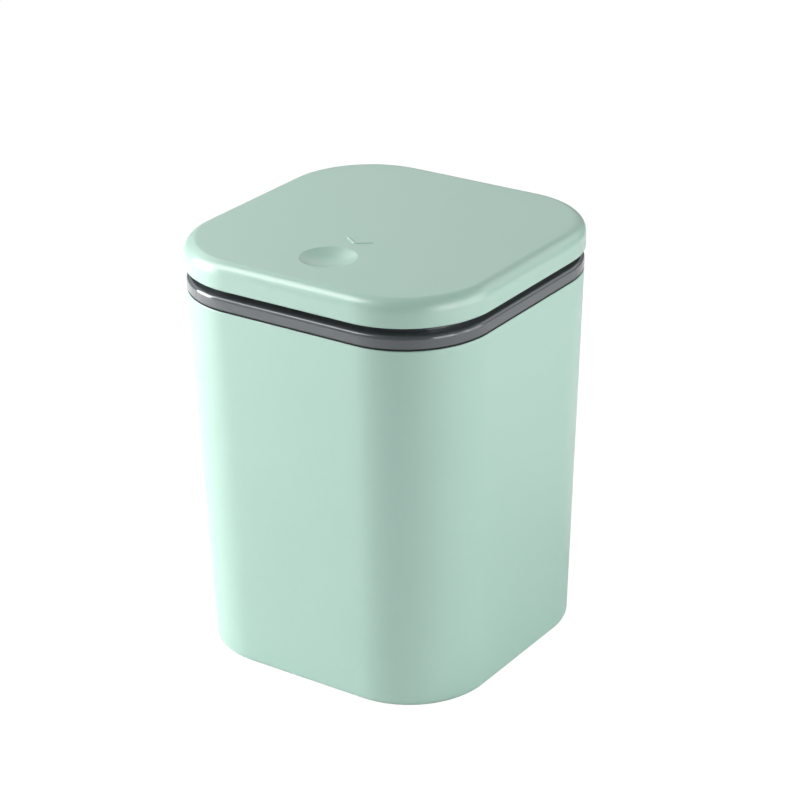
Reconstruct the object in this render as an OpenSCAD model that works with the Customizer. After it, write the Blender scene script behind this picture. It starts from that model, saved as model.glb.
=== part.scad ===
// Push top countertop bin: a tapered bucket, a lift-off collar and a sprung lid with a push latch.
// Millimetres. X to the right, Y to the back, Z up, origin on the table under the middle of the bin.

/* [Overall] */
// Width and depth over the lid
lid_w = 135; // [120:1:160]
// Height from the table to the flat top of the lid
total_h = 175; // [140:1:220]

/* [Bucket] */
// How much the lid stands out past the bucket's rim
lid_overhang = 0.9; // [0.4:0.1:1.4]
// How much each side leans in from the rim to the foot
base_inset = 4.1; // [1:0.1:8]
// Corner radius at the rim
rim_corner_r = 36; // [30:1:44]
// Corner radius at the foot
base_corner_r = 35; // [28:1:44]
// Thickness of the bucket's wall
bucket_wall = 2; // [1.5:0.1:2.5]
// Thickness of the bucket's floor
floor_t = 2.4; // [1.6:0.1:4]
// Rounding of the bucket's lower edge
base_edge_r = 2.5; // [1:0.1:4]
// Width of the ring that the bucket stands on
foot_w = 4; // [3:0.5:8]
// Height of the recess inside the foot ring
foot_h = 1.2; // [0.6:0.1:2.5]
// Rounding of the bucket's rim
rim_edge_r = 0.6; // [0.3:0.1:0.8]

/* [Collar] */
// Height of the band between the bucket's rim and the gap
band_h = 5.8; // [4:0.1:9]
// Rounding of the band's upper edge
shoulder_r = 1.5; // [0.8:0.1:2]
// How far the neck stands back from the band
neck_inset = 5.5; // [5.2:0.1:7]
// Thickness of the neck
neck_t = 2; // [1.5:0.1:3]
// Thickness of the ledge between band and neck
ledge_t = 3.4; // [3.2:0.1:3.8]
// Thickness of the skirt inside the bucket
skirt_t = 2; // [1.5:0.1:2.8]
// How far the skirt reaches into the bucket
skirt_len = 10; // [7:0.5:16]
// Clearance between skirt and bucket
skirt_gap = 0.4; // [0.2:0.1:0.6]

/* [Lid] */
// Height of the lid's side
lid_h = 11; // [10.5:0.5:18]
// Gap between band and lid
gap_h = 3.2; // [3.1:0.1:4]
// Corner radius of the lid
lid_corner_r = 38; // [32:1:46]
// Rounding of the lid's upper edge
lid_edge_r = 5; // [3:0.5:7]
// Rounding of the lid's lower edge
lid_lip_r = 0.8; // [0.4:0.1:0.9]
// Thickness of the lid's cover
lid_wall = 2; // [1.6:0.1:2.6]
// How far the panel lies above the lid's lower edge
panel_inset = 3.2; // [2.6:0.1:3.8]
// Thickness of the panel
panel_t = 2; // [1.6:0.1:2.6]
// Clearance round the panel
panel_gap = 0.2; // [0.1:0.1:0.4]
// Width of the thumb dimple
dimple_d = 22.5; // [16:0.5:28]
// Depth of the thumb dimple
dimple_depth = 2.3; // [1.5:0.1:2.8]
// Distance of the dimple's centre from the lid's front edge
dimple_from_front = 28.5; // [24:0.5:40]

/* [Hinge] */
// Diameter of the hinge pin
pin_d = 2; // [1.6:0.1:2.2]
// Length of the hinge pin
pin_len = 58; // [56:1:60]
// Distance of the pin's axis from the lid's rear edge
hinge_inset = 3; // [2.8:0.1:3.4]
// Height of the pin's axis above the band
hinge_rise = 0.5; // [0.4:0.1:0.6]
// Running clearance of the pin in its knuckles, on the radius
pin_gap = 0.05; // [0.03:0.01:0.08]
// Width of each knuckle
knuckle_w = 7; // [5:0.5:7.5]
// Gap between knuckles side by side
knuckle_gap = 0.3; // [0.2:0.1:0.6]
// Room between a turning part and what it turns past
swing_gap = 0.3; // [0.2:0.05:0.4]
// Wire of the lid's torsion spring
lid_wire_d = 0.8; // [0.5:0.1:0.9]
// Room between the pin and the spring's coils
coil_gap = 0.25; // [0.15:0.05:0.35]
// Turns of the torsion spring
lid_turns = 12; // [6:1:14]
// Pitch of the torsion spring's turns
lid_pitch = 1.4; // [1.35:0.05:1.5]

/* [Latch] */
// Inner width of the latch case
case_in_w = 14; // [13:0.5:16]
// Inner depth of the latch case
case_in_d = 7; // [6.8:0.1:9]
// Wall of the latch case
case_wall = 2; // [1.8:0.1:3]
// Depth of the latch case's top below the lid's lower edge
case_drop = 1.5; // [1:0.1:3]
// Depth of the slider's top below the case's top
slider_drop = 1.5; // [0.5:0.1:3]
// Height of the slider
slider_h = 14; // [14:0.5:16]
// Clearance round the slider
slider_gap = 0.35; // [0.2:0.05:0.45]
// Free travel left under the slider at rest
slider_travel = 4; // [3.4:0.1:6]
// Thickness of the jaws' lips
lip_t = 2; // [1.6:0.1:2.4]
// Clearance between the striker and the jaws
jaw_gap = 0.4; // [0.3:0.05:0.5]
// Width of the striker's shank
shank_w = 2.4; // [2:0.1:2.8]
// Width of the striker's head
head_w = 5.2; // [4.4:0.1:5.6]
// Depth of the striker, front to back
striker_d = 3.8; // [3:0.1:3.8]
// Height of the striker's head
head_h = 4.6; // [3.6:0.1:4.6]
// Thickness of the web that carries the slider's track
web_t = 1.6; // [1.5:0.1:1.8]
// Depth of the heart-shaped track
track_depth = 1; // [0.8:0.1:1.1]
// Wire of the follower
follower_d = 0.8; // [0.6:0.1:0.8]
// Length of the follower between its two bends
follower_len = 11; // [10:0.5:11]
// Wire of the latch's compression spring
latch_wire_d = 0.5; // [0.3:0.1:0.6]
// Mean radius of the compression spring
latch_spring_r = 1.4; // [1.2:0.1:1.4]
// Turns of the compression spring
latch_turns = 5; // [4:1:6]

/* [Screws] */
// Thread diameter of all screws
screw_d = 2; // [1.6:0.1:2.2]
// Head diameter of all screws
screw_head_d = 3.8; // [3.4:0.1:4]
// Head height of all screws
screw_head_h = 1.4; // [1:0.1:1.4]
// Clearance round a screw where it only passes through
screw_gap = 0.15; // [0.1:0.05:0.3]
// Distance of the lid's screws from its middle, along X and along Y
lid_screw_xy = 44; // [34:1:45]

/* [Hidden] */
$fn = 48;
mint = [0.72, 0.85, 0.78];
smoke = [0.45, 0.47, 0.49];
inner_grey = [0.33, 0.36, 0.38];
steel = [0.75, 0.76, 0.78];
acetal = [0.93, 0.93, 0.9];

// Segments in a corner, in an edge's rounding, in a spring's turn and round its wire
arc_n = 16;
edge_n = 5;
turn_n = 8;
tube_sides = 6;
// Overlap that joins two solids of one piece
join = 0.5;
// How far a cut runs past the face that it opens
past = 1;
// Clearance between two faces that rest on each other
seat_gap = 0.05;

// Heights
rim_z = total_h - lid_h - gap_h - band_h;
band_top_z = rim_z + band_h;
lid_z = band_top_z + gap_h;
panel_z = lid_z + panel_inset;
hinge_z = band_top_z + hinge_rise;

// Half widths and lean of the bucket
lid_hw = lid_w/2;
rim_hw = lid_hw - lid_overhang;
base_hw = rim_hw - base_inset;
lean = base_inset/rim_z;

// Hinge
hinge_y = lid_hw - hinge_inset;
knuckle_r = gap_h - hinge_rise - swing_gap;
// The trough in the collar goes round the knuckles with this much room
trough_gap = 0.5;
notch_r = knuckle_r + trough_gap;
bore_r = pin_d/2 + pin_gap;
collar_knuckle_x = pin_len/2 - knuckle_w;
lid_knuckle_x = collar_knuckle_x - knuckle_gap - knuckle_w;
panel_hw = lid_hw - lid_wall - panel_gap;
// The hook that the spring's moving leg pushes against
hook_rise = knuckle_r + 0.6;
hook_t = 0.8;
hook_w = 2;
hook_gap = 0.1;
coil_r = pin_d/2 + coil_gap + lid_wire_d/2;
coil_len = lid_turns*lid_pitch;
// The pocket of the spring's fixed leg leaves this much of the ledge under it
pocket_floor = 0.5;
leg_gap = 0.2;
leg_end_gap = 0.3;
leg_pocket_z = band_top_z - ledge_t + pocket_floor;
leg_drop = hinge_z - leg_pocket_z - leg_end_gap;
leg_rise = panel_z - hinge_z - leg_end_gap;
hook_y = hinge_y - coil_r + lid_wire_d/2 + hook_gap;

// Latch, from the collar's neck towards the middle of the bin
plate_t = 2;
plate_hw = 14;
neck_in_y = -(rim_hw - neck_inset - neck_t);
plate_y = neck_in_y + plate_t;
cavity_y = plate_y + case_wall;
cavity_back_y = cavity_y + case_in_d;
case_back_y = cavity_back_y + case_wall;
case_hw = case_in_w/2 + case_wall;
slider_y = cavity_y + slider_gap;
slider_back_y = cavity_back_y - slider_gap;
web_y = slider_back_y - web_t;
striker_y = (slider_y + web_y)/2;
slider_hw = case_in_w/2 - slider_gap;
case_top_z = lid_z - case_drop;
slider_top_z = case_top_z - slider_drop;
slider_z = slider_top_z - slider_h;
cavity_z = slider_z - slider_travel;
case_z = cavity_z - case_wall;
lip_z = slider_top_z - lip_t;
head_top_z = lip_z - jaw_gap;
head_z = head_top_z - head_h;
slot_z = head_z - jaw_gap;
// The slider keeps this much material between the striker's slot and the spring's pocket
slot_floor_t = 1.6;
pocket_gap = 0.25;
pocket_top_z = slot_z - slot_floor_t;
pocket_r = latch_spring_r + latch_wire_d/2 + pocket_gap;
follower_gap = 0.2;
follower_y = cavity_back_y + follower_d/2 + follower_gap;
// Height of the follower's bent tip above the slider's foot at rest
tip_rise = 9.5;
follower_tip_z = slider_z + tip_rise;
follower_pivot_z = follower_tip_z - follower_len;
// Channel in the case's back wall, in which the follower swings
channel_hw = 2.4;
channel_foot = 1.6;
channel_head = 2.4;

// Ears of the latch case and bosses of the screws
ear_t = 3;
ear_w = 4.5;
ear_h = 8;
ear_rise = 5;
ear_z = slider_z + ear_rise;
screw_room = 0.55;
ear_x = case_hw + screw_head_d/2 + screw_room;
screw_len = 7;
tip_room = 0.2;
boss_r = 2.6;
lid_boss_r = 3;
boss_roof = 1;

// Section of a rounded square: half width w, corner radius r, height z.
function section(w, r, z) = [for (q = [0:3]) for (i = [0:arc_n])
    let (a = 90*q + 90*i/arc_n, c = w - r)
    [(q == 0 || q == 3 ? c : -c) + r*cos(a), (q < 2 ? c : -c) + r*sin(a), z]];

// The bucket's section at height z, drawn in by the amount d.
function bucket_section(d, z) =
    let (t = z/rim_z)
    section(base_hw + lean*z - d, base_corner_r + (rim_corner_r - base_corner_r)*t - d, z);

// The collar's section at height z, drawn in by the amount d.
function collar_section(d, z) = section(rim_hw - d, rim_corner_r - d, z);

// The lid's section at height z, drawn in by the amount d.
function lid_section(d, z) = section(lid_hw - d, lid_corner_r - d, z);

// Skin over a stack of rings, with a cap on its first and last ring or joined end to end.
module skin(rings, endless = false) {
    m = len(rings[0]);
    k = len(rings);
    sides = [for (j = [0:k - (endless ? 1 : 2)]) for (i = [0:m - 1])
        let (a = j*m + i, b = j*m + (i + 1)%m, up = ((j + 1)%k)*m)
        each [[a, up + (i + 1)%m, b], [a, up + i, up + (i + 1)%m]]];
    caps = endless ? [] : [[for (i = [0:m - 1]) i], [for (i = [m - 1:-1:0]) (k - 1)*m + i]];
    polyhedron(points = [for (r = rings) each r], faces = concat(sides, caps), convexity = 10);
}

// Tube along a path whose entries are a point and two cross directions.
module tube(path, wire_r) {
    skin([for (p = path) [for (s = [0:tube_sides - 1])
        p[0] + wire_r*(cos(360*s/tube_sides)*p[1] + sin(360*s/tube_sides)*p[2])]]);
}

// Least gap of a wound wire to itself, from the points of its path.
function self_gap(path, wire_d) = min([for (i = [0:len(path) - 1])
    for (j = [i + turn_n/2 + 1:1:len(path) - 1]) norm(path[i][0] - path[j][0])]) - wire_d;

// Cylinder along X from x0 to x1 on the axis y, z.
module rod_x(x0, x1, y, z, r) {
    translate([x0, y, z]) rotate([0, 90, 0]) cylinder(h = x1 - x0, r = r);
}

// Cylinder along Y from y0 to y1 on the axis x, z.
module rod_y(x, y0, y1, z, r) {
    translate([x, y0, z]) rotate([-90, 0, 0]) cylinder(h = y1 - y0, r = r);
}

// Box between two corners.
module block(low, high) {
    translate(low) cube(high - low);
}

// Plate with the outline of a rounded square.
module rounded_plate(w, r, z, t) {
    c = w - r;
    block([-w, -c, z], [w, c, z + t]);
    block([-c, -w, z], [c, w, z + t]);
    for (x = [-c, c]) for (y = [-c, c]) translate([x, y, z]) cylinder(h = t, r = r);
}

module bucket() {
    foot_in_d = base_edge_r + foot_w;
    foot_slope = 0.6;
    rim_chamfer_d = 0.3;
    rim_chamfer_h = 0.5;
    color(mint)
    skin([
        bucket_section(foot_in_d + foot_slope, foot_h),
        bucket_section(foot_in_d, 0),
        bucket_section(base_edge_r, 0),
        for (i = [1:edge_n]) let (a = 90*i/edge_n)
            bucket_section(base_edge_r*(1 - sin(a)), base_edge_r*(1 - cos(a))),
        bucket_section(0, rim_z/2),
        for (i = [0:edge_n - 1]) let (a = 90*i/(edge_n - 1))
            bucket_section(rim_edge_r*(1 - cos(a)), rim_z - rim_edge_r*(1 - sin(a))),
        bucket_section(bucket_wall - rim_chamfer_d, rim_z),
        bucket_section(bucket_wall, rim_z - rim_chamfer_h),
        bucket_section(bucket_wall, rim_z/2),
        for (i = [0:edge_n]) let (a = 90*i/edge_n)
            bucket_section(bucket_wall + base_edge_r*(1 - cos(a)),
                foot_h + floor_t + base_edge_r*(1 - sin(a)))
    ]);
}

module collar_ring() {
    skirt_d = bucket_wall + skirt_gap;
    skirt_z = rim_z - skirt_len;
    skirt_foot_d = skirt_d + lean*skirt_len;
    ledge_z = band_top_z - ledge_t;
    neck_z = lid_z - swing_gap;
    band_z = rim_z + seat_gap;
    seam = 0.4;
    skin([
        collar_section(seam, band_z),
        collar_section(0, band_z + seam),
        for (i = [0:edge_n]) let (a = 90*i/edge_n)
            collar_section(shoulder_r*(1 - cos(a)), band_top_z - shoulder_r*(1 - sin(a))),
        collar_section(neck_inset, band_top_z),
        collar_section(neck_inset, neck_z),
        collar_section(neck_inset + neck_t, neck_z),
        collar_section(neck_inset + neck_t, ledge_z),
        collar_section(skirt_d + skirt_t, ledge_z),
        collar_section(skirt_foot_d + skirt_t, skirt_z),
        collar_section(skirt_foot_d, skirt_z),
        collar_section(skirt_d, band_z)
    ], endless = true);
}

module collar() {
    hole_y = plate_y + ear_t - screw_len - tip_room;
    skirt_in_y = -(rim_hw - bucket_wall - skirt_gap - skirt_t);
    color(smoke)
    difference() {
        union() {
            difference() {
                collar_ring();
                rod_x(-collar_knuckle_x, collar_knuckle_x, hinge_y, hinge_z, notch_r);
            }
            for (s = [-1, 1]) collar_knuckle(s);
            block([-plate_hw, neck_in_y - join, case_z], [plate_hw, plate_y, case_top_z]);
            for (s = [-1, 1]) rod_y(s*ear_x, skirt_in_y - join, plate_y, ear_z, boss_r);
        }
        rod_x(-lid_w/2, lid_w/2, hinge_y, hinge_z, bore_r);
        translate([-coil_len/2, hinge_y - coil_r, leg_pocket_z])
            cylinder(h = ledge_t, r = lid_wire_d/2 + leg_gap);
        for (s = [-1, 1]) rod_y(s*ear_x, hole_y, plate_y + past, ear_z, screw_d/2);
    }
}

// One of the collar's two knuckles, on the side s.
module collar_knuckle(s) {
    x0 = s > 0 ? collar_knuckle_x : -collar_knuckle_x - knuckle_w;
    rod_x(x0, x0 + knuckle_w, hinge_y, hinge_z, knuckle_r);
    block([x0, hinge_y - knuckle_r, band_top_z - ledge_t/2],
        [x0 + knuckle_w, hinge_y + knuckle_r - join, hinge_z]);
}

module lid_cover() {
    ball_r = (pow(dimple_d/2, 2) + pow(dimple_depth, 2))/(2*dimple_depth);
    dimple_y = -lid_hw + dimple_from_front;
    inner_edge_r = lid_edge_r - lid_wall;
    lip_chamfer = 0.4;
    lip_n = 3;
    color(mint)
    difference() {
        union() {
            skin([
                for (i = [0:edge_n]) let (a = 90*i/edge_n)
                    lid_section(lid_wall + inner_edge_r*(1 - sin(a)),
                        total_h - lid_wall - inner_edge_r*(1 - cos(a))),
                lid_section(lid_wall, lid_z + lip_chamfer),
                lid_section(lid_wall - lip_chamfer, lid_z),
                lid_section(lid_lip_r, lid_z),
                for (i = [1:lip_n]) let (a = 90*i/lip_n)
                    lid_section(lid_lip_r*(1 - sin(a)), lid_z + lid_lip_r*(1 - cos(a))),
                for (i = [0:edge_n]) let (a = 90*i/edge_n)
                    lid_section(lid_edge_r*(1 - cos(a)), total_h - lid_edge_r*(1 - sin(a)))
            ]);
            intersection() {
                translate([0, dimple_y, total_h - dimple_depth + ball_r]) sphere(r = ball_r + lid_wall);
                translate([0, dimple_y, panel_z + panel_t])
                    cylinder(h = lid_h - panel_inset - panel_t - boss_roof, d = dimple_d + 4*lid_wall);
            }
            for (x = [-lid_screw_xy, lid_screw_xy]) for (y = [-lid_screw_xy, lid_screw_xy])
                translate([x, y, panel_z + panel_t])
                    cylinder(h = total_h - lid_wall + join - panel_z - panel_t, r = lid_boss_r);
        }
        translate([0, dimple_y, total_h - dimple_depth + ball_r]) sphere(r = ball_r);
        for (x = [-lid_screw_xy, lid_screw_xy]) for (y = [-lid_screw_xy, lid_screw_xy])
            translate([x, y, panel_z]) cylinder(h = panel_t + lid_screw_depth(), r = screw_d/2);
    }
}

// How far the lid's screws go into their bosses.
function lid_screw_depth() = total_h - lid_wall - panel_z - panel_t - boss_roof;

module lid_panel() {
    color(inner_grey)
    difference() {
        union() {
            rounded_plate(panel_hw, lid_corner_r - lid_wall - panel_gap, panel_z, panel_t);
            for (s = [-1, 1]) lid_knuckle(s);
            block([coil_len/2 - hook_w/2, hook_y, hinge_z + hook_rise],
                [coil_len/2 + hook_w/2, hook_y + hook_t, panel_z + join]);
            striker();
        }
        rod_x(-lid_w/2, lid_w/2, hinge_y, hinge_z, bore_r);
        for (x = [-lid_screw_xy, lid_screw_xy]) for (y = [-lid_screw_xy, lid_screw_xy])
            translate([x, y, panel_z - past]) cylinder(h = panel_t + 2*past, r = screw_d/2 + screw_gap);
    }
}

// One of the lid's two hinge arms with its knuckle, on the side s.
module lid_knuckle(s) {
    x0 = s > 0 ? lid_knuckle_x : -lid_knuckle_x - knuckle_w;
    rod_x(x0, x0 + knuckle_w, hinge_y, hinge_z, knuckle_r);
    block([x0, hinge_y - knuckle_r, hinge_z], [x0 + knuckle_w, panel_hw, panel_z + join]);
}

// Shank and arrow head that hang from the panel into the latch.
module striker() {
    tip_w = head_w/2;
    barb_z = head_h*0.6;
    foot = 2;
    y0 = striker_y - striker_d/2;
    block([-shank_w/2, y0, head_z + head_h/2], [shank_w/2, y0 + striker_d, panel_z + join]);
    translate([0, y0 + striker_d, head_z]) rotate([90, 0, 0]) linear_extrude(striker_d)
        polygon([[-tip_w/2, 0], [tip_w/2, 0], [head_w/2, barb_z], [head_w/2, head_h],
            [-head_w/2, head_h], [-head_w/2, barb_z]]);
    block([-shank_w/2 - foot, y0, panel_z - foot/2], [shank_w/2 + foot, y0 + striker_d, panel_z + join]);
}

module lid_screws() {
    color(steel)
    for (x = [-lid_screw_xy, lid_screw_xy]) for (y = [-lid_screw_xy, lid_screw_xy])
        translate([x, y, panel_z]) screw(panel_t + lid_screw_depth());
}

// Pan-head screw with a cross recess, its head below z = 0 and its shank above.
module screw(length) {
    recess = 0.6;
    arm = 0.5;
    difference() {
        union() {
            translate([0, 0, -screw_head_h]) cylinder(h = screw_head_h, d = screw_head_d);
            cylinder(h = length - tip_room, d = screw_d);
        }
        block([-screw_head_d/3, -arm/2, -screw_head_h - past], [screw_head_d/3, arm/2, recess - screw_head_h]);
        block([-arm/2, -screw_head_d/3, -screw_head_h - past], [arm/2, screw_head_d/3, recess - screw_head_h]);
    }
}

module hinge_pin() {
    color(steel) rod_x(-pin_len/2, pin_len/2, hinge_y, hinge_z, pin_d/2);
}

// The coils run from left to right, with the fixed leg down and the lid's leg up.
lid_spring_path = [
    for (z = [-leg_drop, -leg_drop/2])
        [[-coil_len/2, hinge_y - coil_r, hinge_z + z], [0, -1, 0], [1, 0, 0]],
    for (i = [0:lid_turns*turn_n]) let (a = 360*i/turn_n)
        [[-coil_len/2 + lid_pitch*i/turn_n, hinge_y - coil_r*cos(a), hinge_z + coil_r*sin(a)],
            [0, -cos(a), sin(a)], [1, 0, 0]],
    for (z = [leg_rise/2, leg_rise])
        [[coil_len/2, hinge_y - coil_r, hinge_z + z], [0, -1, 0], [1, 0, 0]]
];

module lid_spring() {
    echo(lid_spring_self_gap = self_gap(lid_spring_path, lid_wire_d));
    color(steel) tube(lid_spring_path, lid_wire_d/2);
}

module latch_case() {
    color(inner_grey)
    difference() {
        union() {
            block([-case_hw, plate_y, case_z], [case_hw, case_back_y, case_top_z]);
            block([-ear_x - ear_w/2, plate_y, ear_z - ear_h/2],
                [ear_x + ear_w/2, plate_y + ear_t, ear_z + ear_h/2]);
        }
        block([-case_in_w/2, cavity_y, cavity_z], [case_in_w/2, cavity_back_y, case_top_z + past]);
        block([-channel_hw, cavity_back_y - past, follower_pivot_z - channel_foot],
            [channel_hw, follower_y + follower_d/2 + follower_gap, follower_tip_z + channel_head]);
        rod_y(0, cavity_back_y, case_back_y + past, follower_pivot_z, follower_d/2 + pin_gap);
        for (s = [-1, 1])
            rod_y(s*ear_x, plate_y - past, plate_y + ear_t + past, ear_z, screw_d/2 + screw_gap);
    }
}

module latch_slider() {
    slot_hw = head_w/2 + jaw_gap;
    mouth_hw = shank_w/2 + jaw_gap;
    color(acetal)
    difference() {
        block([-slider_hw, slider_y, slider_z], [slider_hw, slider_back_y, slider_top_z]);
        block([-slot_hw, slider_y - past, slot_z], [slot_hw, web_y, lip_z]);
        block([-mouth_hw, slider_y - past, lip_z - past], [mouth_hw, web_y, slider_top_z + past]);
        translate([0, striker_y, slider_z - past])
            cylinder(h = pocket_top_z - slider_z + past, r = pocket_r);
        translate([0, slider_back_y + past, 0]) rotate([90, 0, 0])
            linear_extrude(past + track_depth) heart_track();
    }
}

// Outline of the follower's track: an endless lane round a heart-shaped island.
module heart_track() {
    island_top = follower_tip_z - follower_d/2 - 2*seat_gap;
    lane = follower_d + 0.5;
    island_hw = 1.7;
    island_h = 3.6;
    horn_rise = 0.9;
    cheek_drop = 1.2;
    head_rise = 1.3;
    difference() {
        union() {
            translate([0, island_top + head_rise]) circle(r = island_hw + lane);
            translate([-island_hw - lane, island_top - island_h])
                square([2*(island_hw + lane), island_h + head_rise]);
            translate([0, island_top - island_h]) circle(r = island_hw);
        }
        translate([0, island_top])
            polygon([[0, 0], [island_hw, horn_rise], [island_hw, -cheek_drop],
                [0, -island_h], [-island_hw, -cheek_drop], [-island_hw, horn_rise]]);
    }
}

latch_spring_path = let (z0 = cavity_z + latch_wire_d/2 + seat_gap,
        h = pocket_top_z - latch_wire_d/2 - seat_gap - z0)
    [for (i = [0:latch_turns*turn_n]) let (a = 360*i/turn_n)
        [[latch_spring_r*cos(a), striker_y + latch_spring_r*sin(a), z0 + h*i/(latch_turns*turn_n)],
            [cos(a), sin(a), 0], [0, 0, -1]]];

module latch_spring() {
    echo(latch_spring_self_gap = self_gap(latch_spring_path, latch_wire_d));
    color(steel) tube(latch_spring_path, latch_wire_d/2);
}

module latch_wire() {
    r = follower_d/2;
    color(steel) {
        translate([0, follower_y, follower_pivot_z]) cylinder(h = follower_len, r = r);
        rod_y(0, follower_y, case_back_y, follower_pivot_z, r);
        rod_y(0, slider_back_y - track_depth + follower_gap, follower_y, follower_tip_z, r);
        for (z = [follower_pivot_z, follower_tip_z]) translate([0, follower_y, z]) sphere(r = r);
    }
}

module latch_screws() {
    color(steel)
    for (s = [-1, 1]) translate([s*ear_x, plate_y + ear_t, ear_z]) rotate([90, 0, 0]) screw(screw_len);
}

bucket();
collar();
lid_cover();
lid_panel();
lid_screws();
hinge_pin();
lid_spring();
latch_case();
latch_slider();
latch_spring();
latch_wire();
latch_screws();
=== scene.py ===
# %% [markdown]
# # A push top countertop bin
# The bin is four mouldings that show, a tapered bucket, a glossy collar and a two-part lid, and a
# small mechanism inside: a hinge with a torsion spring at the back and a push latch at the front.
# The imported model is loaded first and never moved. Every new surface is worked out in its frame,
# with metres as the unit, X to the right, Y to the back and Z up.

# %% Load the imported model
import math

import bmesh
import bpy
import numpy as np
from mathutils import Matrix, Vector


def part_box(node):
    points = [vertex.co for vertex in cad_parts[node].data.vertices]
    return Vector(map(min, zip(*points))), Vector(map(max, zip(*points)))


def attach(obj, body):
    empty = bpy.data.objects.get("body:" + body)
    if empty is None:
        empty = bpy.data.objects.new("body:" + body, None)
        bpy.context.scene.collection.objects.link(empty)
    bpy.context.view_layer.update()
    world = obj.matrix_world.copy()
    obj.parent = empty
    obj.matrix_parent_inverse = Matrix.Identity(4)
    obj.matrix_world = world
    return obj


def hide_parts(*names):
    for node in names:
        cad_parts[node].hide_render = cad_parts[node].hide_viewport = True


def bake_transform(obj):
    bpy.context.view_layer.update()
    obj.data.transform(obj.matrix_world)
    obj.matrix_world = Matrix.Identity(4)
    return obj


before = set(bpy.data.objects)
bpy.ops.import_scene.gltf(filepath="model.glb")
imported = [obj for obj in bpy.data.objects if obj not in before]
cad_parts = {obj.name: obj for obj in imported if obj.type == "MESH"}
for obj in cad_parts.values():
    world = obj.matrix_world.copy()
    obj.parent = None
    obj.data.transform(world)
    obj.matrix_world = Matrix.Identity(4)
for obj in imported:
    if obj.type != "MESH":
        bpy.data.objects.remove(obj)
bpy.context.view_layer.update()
MM = 0.001
print("nodes:", sorted(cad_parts))

# %% [markdown]
# ## Sizes
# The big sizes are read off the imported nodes, so the looks follow the construction. The small ones,
# such as radii and walls, are the ones that the mouldings are built to.

# %% Sizes of the mouldings
bucket_low, bucket_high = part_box("bucket")
lid_low, lid_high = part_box("lid_cover")
collar_low, collar_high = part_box("collar")
pin_low, pin_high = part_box("hinge_pin")

RIM_Z = bucket_high.z
RIM_HALF = bucket_high.x
BASE_HALF = RIM_HALF - 4.1 * MM
RIM_CORNER = 36 * MM
BASE_CORNER = 35 * MM
BUCKET_WALL = 2 * MM
BASE_EDGE = 2.5 * MM
RIM_EDGE = 0.6 * MM
FOOT_WIDTH = 4 * MM
FOOT_HEIGHT = 1.2 * MM
FOOT_SLOPE = 0.6 * MM
FLOOR = 2.4 * MM

BAND_FOOT = RIM_Z + 0.05 * MM
BAND_TOP = RIM_Z + 5.8 * MM
SEAM_DEPTH = 1.2 * MM
SEAM_HEIGHT = 0.8 * MM
SHOULDER = 1.5 * MM
NECK_INSET = 5.5 * MM
NECK_WALL = 2 * MM
NECK_TOP = collar_high.z
LEDGE = 3.4 * MM
SKIRT_GAP = 0.4 * MM
SKIRT_WALL = 2 * MM
SKIRT_LENGTH = 10 * MM

LID_HALF = lid_high.x
LID_BOTTOM = lid_low.z
LID_TOP = lid_high.z
LID_CORNER = 38 * MM
LID_EDGE = 5 * MM
LID_LIP = 0.8 * MM
LID_WALL = 2 * MM

# Roundings of the small edges, from the crispest to the softest
CRISP_EDGE = 0.05 * MM
FINE_EDGE = 0.3 * MM
SOFT_EDGE = 0.4 * MM

HINGE_Y = (pin_low.y + pin_high.y) / 2
HINGE_Z = (pin_low.z + pin_high.z) / 2
PIN_RADIUS = (pin_high.z - pin_low.z) / 2
print("rim half width", round(RIM_HALF / MM, 2), "mm, lid half width", round(LID_HALF / MM, 2), "mm")

# %% [markdown]
# ## One outline for every moulding
# Bucket, collar and lid all have the outline of a square with large round corners. A point of it
# is a place on the inner square plus a radius times a direction. Directions and places are worked
# out once, so that any half width and any corner radius give a ring with the same count of points,
# and rings of different sizes can be joined into one surface.

# %% The outline as directions and places
def outline_table(corner_steps, side_steps):
    """Unit directions and inner places of a rounded square, counterclockwise from the right.

    A corner turns its direction by 90 degrees at one place. A side keeps its direction while the
    place moves from one corner of the inner square to the next. The side's points are closer
    together near its ends, by a cosine, so that the shading is even where side and corner meet.
    """
    ends = 0.5 - 0.5 * np.cos(np.pi * np.arange(1, side_steps) / side_steps)
    corners = np.array([[1, 1], [-1, 1], [-1, -1], [1, -1]], float)
    directions, places = [], []
    for quarter in range(4):
        angle = np.radians(90 * quarter) + np.linspace(0, np.pi / 2, corner_steps + 1)
        turn = np.stack([np.cos(angle), np.sin(angle)], 1)
        here, there = corners[quarter], corners[(quarter + 1) % 4]
        directions += [turn, np.repeat(turn[-1:], len(ends), 0)]
        places += [np.repeat(here[None], len(turn), 0), here + ends[:, None] * (there - here)]
    return np.concatenate(directions), np.concatenate(places)


def rings(half, corner, z, table):
    """Rings of points, one for each row: place * (half - corner) + direction * corner, at z."""
    directions, places = table
    half, corner, z = (np.broadcast_to(np.asarray(v, float), np.broadcast(half, corner, z).shape)
                       for v in (half, corner, z))
    corner = np.minimum(np.maximum(corner, 0.2 * half), half)
    flat = places * (half - corner)[:, None, None] + directions * corner[:, None, None]
    height = np.broadcast_to(z[:, None, None], (*flat.shape[:2], 1))
    return np.concatenate([flat, height], 2)


# %% [markdown]
# A moulding's wall is drawn as a profile, as a turner would draw a bowl: corner points with a
# radius each. The radii become arcs. A guard point on each side of an arc keeps the shading of
# the flat stretches flat.

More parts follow.
